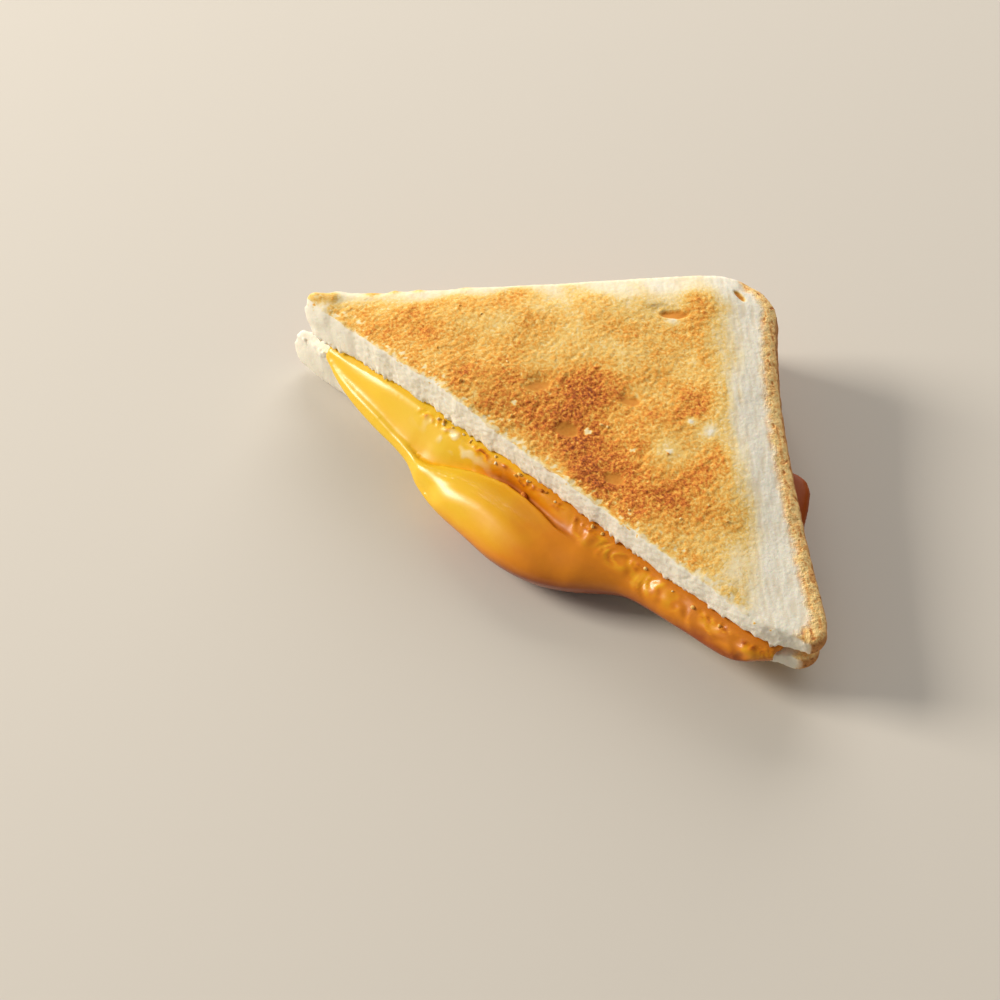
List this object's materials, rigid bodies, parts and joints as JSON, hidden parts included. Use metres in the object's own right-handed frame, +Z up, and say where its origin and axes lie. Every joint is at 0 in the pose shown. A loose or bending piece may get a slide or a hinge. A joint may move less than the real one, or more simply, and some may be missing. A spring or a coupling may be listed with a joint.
{
  "type": "grilled cheese sandwich half",
  "caption": "Triangular half of a toasted cheese sandwich, cut corner to corner, lying flat, with melted cheese bulging out of the cut.",
  "frame": {"origin": "on the flat underside of the lower slice, at the middle of the triangle", "axes": "+X along the cut, with the cheese's thick lobe left of the middle and the thin tongue at +X; +Y from the cut to the crust corner; +Z up"},
  "size_m": [0.1444, 0.087, 0.0285],
  "materials": {
    "toast": "dry toasted bread, golden brown face with a fine open grain, pale crumb at the cut and light brown crust",
    "melted_cheese": "soft melted cheese, smooth and glossy, slightly translucent",
    "bread": "dry bread, pale crumb at the cut, lightly toasted underside and light brown crust"
  },
  "bodies": {
    "root": {"top_slice": "toast", "cheese": "melted_cheese", "bottom_slice": "bread"}
  },
  "joints": []
}
